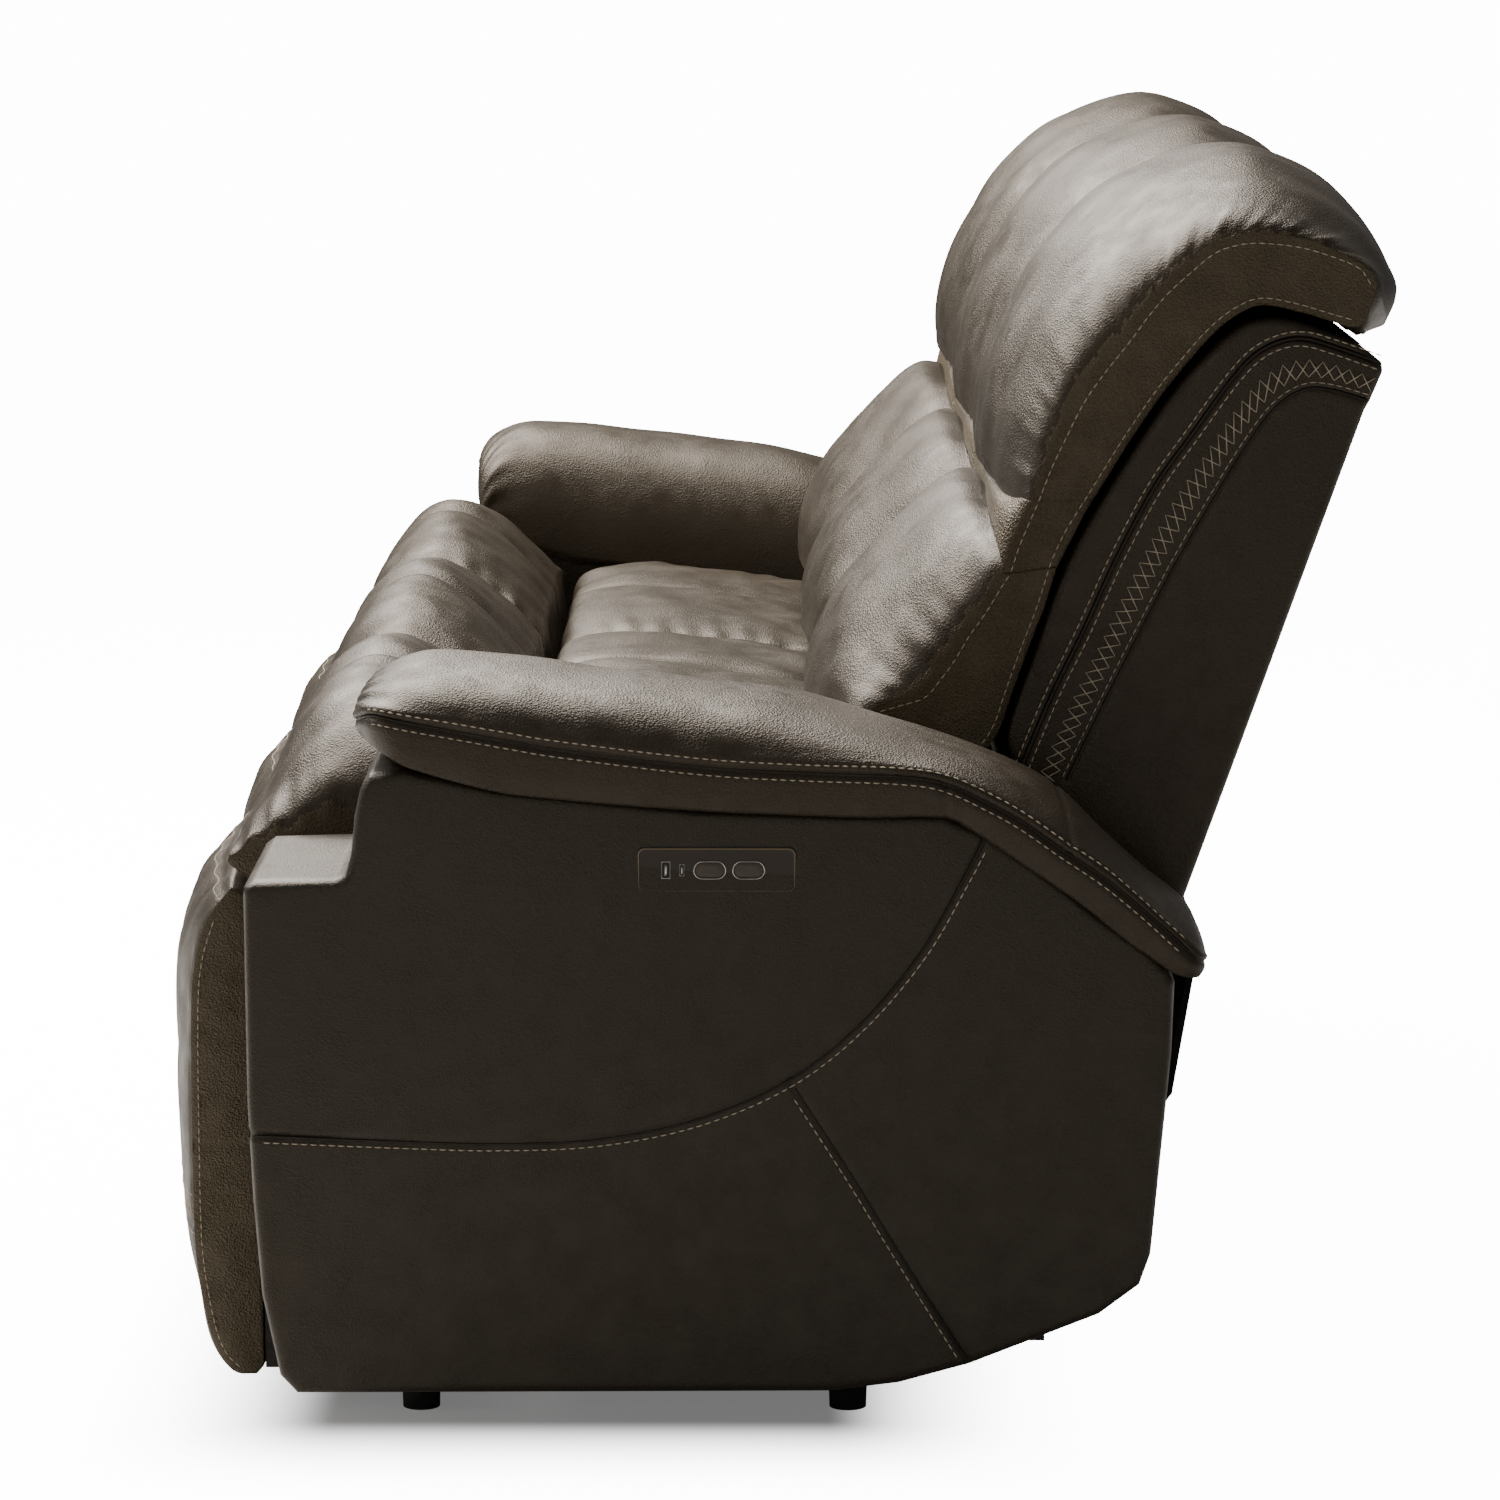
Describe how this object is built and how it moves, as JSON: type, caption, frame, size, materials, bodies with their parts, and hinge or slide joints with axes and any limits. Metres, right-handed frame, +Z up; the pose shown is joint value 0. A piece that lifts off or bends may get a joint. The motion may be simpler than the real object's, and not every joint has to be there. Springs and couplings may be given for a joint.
{
  "type": "reclining sofa",
  "caption": "Power reclining sofa with padded arms, chaise footrests and tilting power headrests on the end seats, in dark brown leather.",
  "frame": {"origin": "centre of the footprint, on the floor", "axes": "+X to the left of someone sitting on it, -Y the way the seats face, +Z up"},
  "size_m": [2.232, 1.0768, 1.0781],
  "materials": {
    "leather": "pebbled grain, soft sheen",
    "leather_side": "pebbled grain, satin",
    "steel_black": "powder coat",
    "steel_bright": "satin",
    "wood": "raw plywood",
    "board_black": "black-faced board",
    "plastic_dark": "moulded, satin",
    "plastic_black": "moulded, matt",
    "plastic_pale": "moulded, matt",
    "cloth_black": "non-woven"
  },
  "bodies": {
    "root": {"arm_frame_left": "wood", "arm_outer_panel_left": "leather_side", "arm_inner_panel_left": "leather_side", "arm_pad_left": "leather", "arm_frame_right": "wood", "arm_outer_panel_right": "leather_side", "arm_inner_panel_right": "leather_side", "arm_pad_right": "leather", "control_plates": "plastic_dark", "usb_ports": "steel_bright", "base_frame": "steel_black", "feet": "plastic_black", "rear_skirt": "cloth_black", "power_inlet": "plastic_black", "seat_frame_centre": "wood", "seat_springs_centre": "steel_bright", "seat_cushion_centre": "leather", "seat_roll_centre": "leather", "front_panel_centre": "leather", "back_frame_centre": "steel_black", "back_shell_centre": "leather_side", "lumbar_cushion_centre": "leather", "head_cushion_centre": "leather"},
    "seat_left": {"seat_frame_left": "steel_black", "seat_springs_left": "steel_bright", "seat_cushion_left": "leather", "seat_roll_left": "leather", "drive_motor_left": "plastic_black"},
    "back_left": {"back_frame_left": "steel_black", "back_shell_left": "leather_side", "lumbar_cushion_left": "leather"},
    "headrest_left": {"headrest_bracket_left": "steel_black", "head_cushion_left": "leather"},
    "link_a_left": {"link_a_left": "steel_black"},
    "link_b_left": {"link_b_left": "steel_black"},
    "footrest_left": {"footrest_board_left": "board_black", "footrest_pad_left": "leather"},
    "flap_left": {"chaise_flap_left": "leather_side"},
    "drive_block_left": {"drive_block_left": "plastic_pale"},
    "rocker_recline_left": {"rocker_recline_left": "plastic_dark"},
    "rocker_headrest_left": {"rocker_headrest_left": "plastic_dark"},
    "seat_right": {"seat_frame_right": "steel_black", "seat_springs_right": "steel_bright", "seat_cushion_right": "leather", "seat_roll_right": "leather", "drive_motor_right": "plastic_black"},
    "back_right": {"back_frame_right": "steel_black", "back_shell_right": "leather_side", "lumbar_cushion_right": "leather"},
    "headrest_right": {"headrest_bracket_right": "steel_black", "head_cushion_right": "leather"},
    "link_a_right": {"link_a_right": "steel_black"},
    "link_b_right": {"link_b_right": "steel_black"},
    "footrest_right": {"footrest_board_right": "board_black", "footrest_pad_right": "leather"},
    "flap_right": {"chaise_flap_right": "leather_side"},
    "drive_block_right": {"drive_block_right": "plastic_pale"},
    "rocker_recline_right": {"rocker_recline_right": "plastic_dark"},
    "rocker_headrest_right": {"rocker_headrest_right": "plastic_dark"}
  },
  "joints": [
    {"name": "seat_glide_left", "type": "slide", "parent": "root", "child": "seat_left", "axis": [0, -1, 0], "range_m": [0, 0.112]},
    {"name": "recline_left", "type": "hinge", "parent": "seat_left", "child": "back_left", "pos_m": [0.58, 0.15, 0.38], "axis": [-1, 0, 0], "range_deg": [0, 30]},
    {"name": "headrest_tilt_left", "type": "hinge", "parent": "back_left", "child": "headrest_left", "pos_m": [0.58, 0.205, 0.78], "axis": [1, 0, 0], "range_deg": [0, 35]},
    {"name": "footrest_lift_left", "type": "hinge", "parent": "seat_left", "child": "link_a_left", "pos_m": [0.58, -0.2, 0.37], "axis": [-1, 0, 0], "range_deg": [0, 84.8]},
    {"name": "footrest_link_left", "type": "hinge", "parent": "link_a_left", "child": "link_b_left", "pos_m": [0.58, -0.16567, 0.06392], "axis": [-1, 0, 0], "range_deg": [-103.1, 0]},
    {"name": "footrest_turn_left", "type": "hinge", "parent": "link_b_left", "child": "footrest_left", "pos_m": [0.58, -0.41169, 0.22994], "axis": [-1, 0, 0], "range_deg": [0, 103.1]},
    {"name": "flap_turn_left", "type": "hinge", "parent": "seat_left", "child": "flap_left", "pos_m": [0.58, -0.432, 0.432], "axis": [-1, 0, 0], "range_deg": [0, 90]},
    {"name": "drive_travel_left", "type": "slide", "parent": "seat_left", "child": "drive_block_left", "axis": [0, -1, 0], "range_m": [0, 0.172]},
    {"name": "rocker_recline_left", "type": "hinge", "parent": "root", "child": "rocker_recline_left", "pos_m": [1.108, -0.0565, 0.518], "axis": [0, 0, 1], "range_deg": [-5, 5], "stiffness_Nm_per_rad": 0.6},
    {"name": "rocker_headrest_left", "type": "hinge", "parent": "root", "child": "rocker_headrest_left", "pos_m": [1.108, -0.025, 0.518], "axis": [0, 0, 1], "range_deg": [-5, 5], "stiffness_Nm_per_rad": 0.6},
    {"name": "seat_glide_right", "type": "slide", "parent": "root", "child": "seat_right", "axis": [0, -1, 0], "range_m": [0, 0.112]},
    {"name": "recline_right", "type": "hinge", "parent": "seat_right", "child": "back_right", "pos_m": [-0.58, 0.15, 0.38], "axis": [-1, 0, 0], "range_deg": [0, 30]},
    {"name": "headrest_tilt_right", "type": "hinge", "parent": "back_right", "child": "headrest_right", "pos_m": [-0.58, 0.205, 0.78], "axis": [1, 0, 0], "range_deg": [0, 35]},
    {"name": "footrest_lift_right", "type": "hinge", "parent": "seat_right", "child": "link_a_right", "pos_m": [-0.58, -0.2, 0.37], "axis": [-1, 0, 0], "range_deg": [0, 84.8]},
    {"name": "footrest_link_right", "type": "hinge", "parent": "link_a_right", "child": "link_b_right", "pos_m": [-0.58, -0.16567, 0.06392], "axis": [-1, 0, 0], "range_deg": [-103.1, 0]},
    {"name": "footrest_turn_right", "type": "hinge", "parent": "link_b_right", "child": "footrest_right", "pos_m": [-0.58, -0.41169, 0.22994], "axis": [-1, 0, 0], "range_deg": [0, 103.1]},
    {"name": "flap_turn_right", "type": "hinge", "parent": "seat_right", "child": "flap_right", "pos_m": [-0.58, -0.432, 0.432], "axis": [-1, 0, 0], "range_deg": [0, 90]},
    {"name": "drive_travel_right", "type": "slide", "parent": "seat_right", "child": "drive_block_right", "axis": [0, -1, 0], "range_m": [0, 0.172]},
    {"name": "rocker_recline_right", "type": "hinge", "parent": "root", "child": "rocker_recline_right", "pos_m": [-1.108, -0.0565, 0.518], "axis": [0, 0, 1], "range_deg": [-5, 5], "stiffness_Nm_per_rad": 0.6},
    {"name": "rocker_headrest_right", "type": "hinge", "parent": "root", "child": "rocker_headrest_right", "pos_m": [-1.108, -0.025, 0.518], "axis": [0, 0, 1], "range_deg": [-5, 5], "stiffness_Nm_per_rad": 0.6}
  ],
  "couplings": [
    {"joint": "seat_glide_left", "follows": "recline_left", "m_per_rad": 0.21},
    {"joint": "footrest_link_left", "follows": "footrest_lift_left", "ratio": -1.215},
    {"joint": "footrest_turn_left", "follows": "footrest_lift_left", "ratio": 1.215},
    {"joint": "flap_turn_left", "follows": "footrest_lift_left", "ratio": 1.0613},
    {"joint": "drive_travel_left", "follows": "footrest_lift_left", "m_per_rad": 0.116},
    {"joint": "seat_glide_right", "follows": "recline_right", "m_per_rad": 0.21},
    {"joint": "footrest_link_right", "follows": "footrest_lift_right", "ratio": -1.215},
    {"joint": "footrest_turn_right", "follows": "footrest_lift_right", "ratio": 1.215},
    {"joint": "flap_turn_right", "follows": "footrest_lift_right", "ratio": 1.0613},
    {"joint": "drive_travel_right", "follows": "footrest_lift_right", "m_per_rad": 0.116}
  ]
}
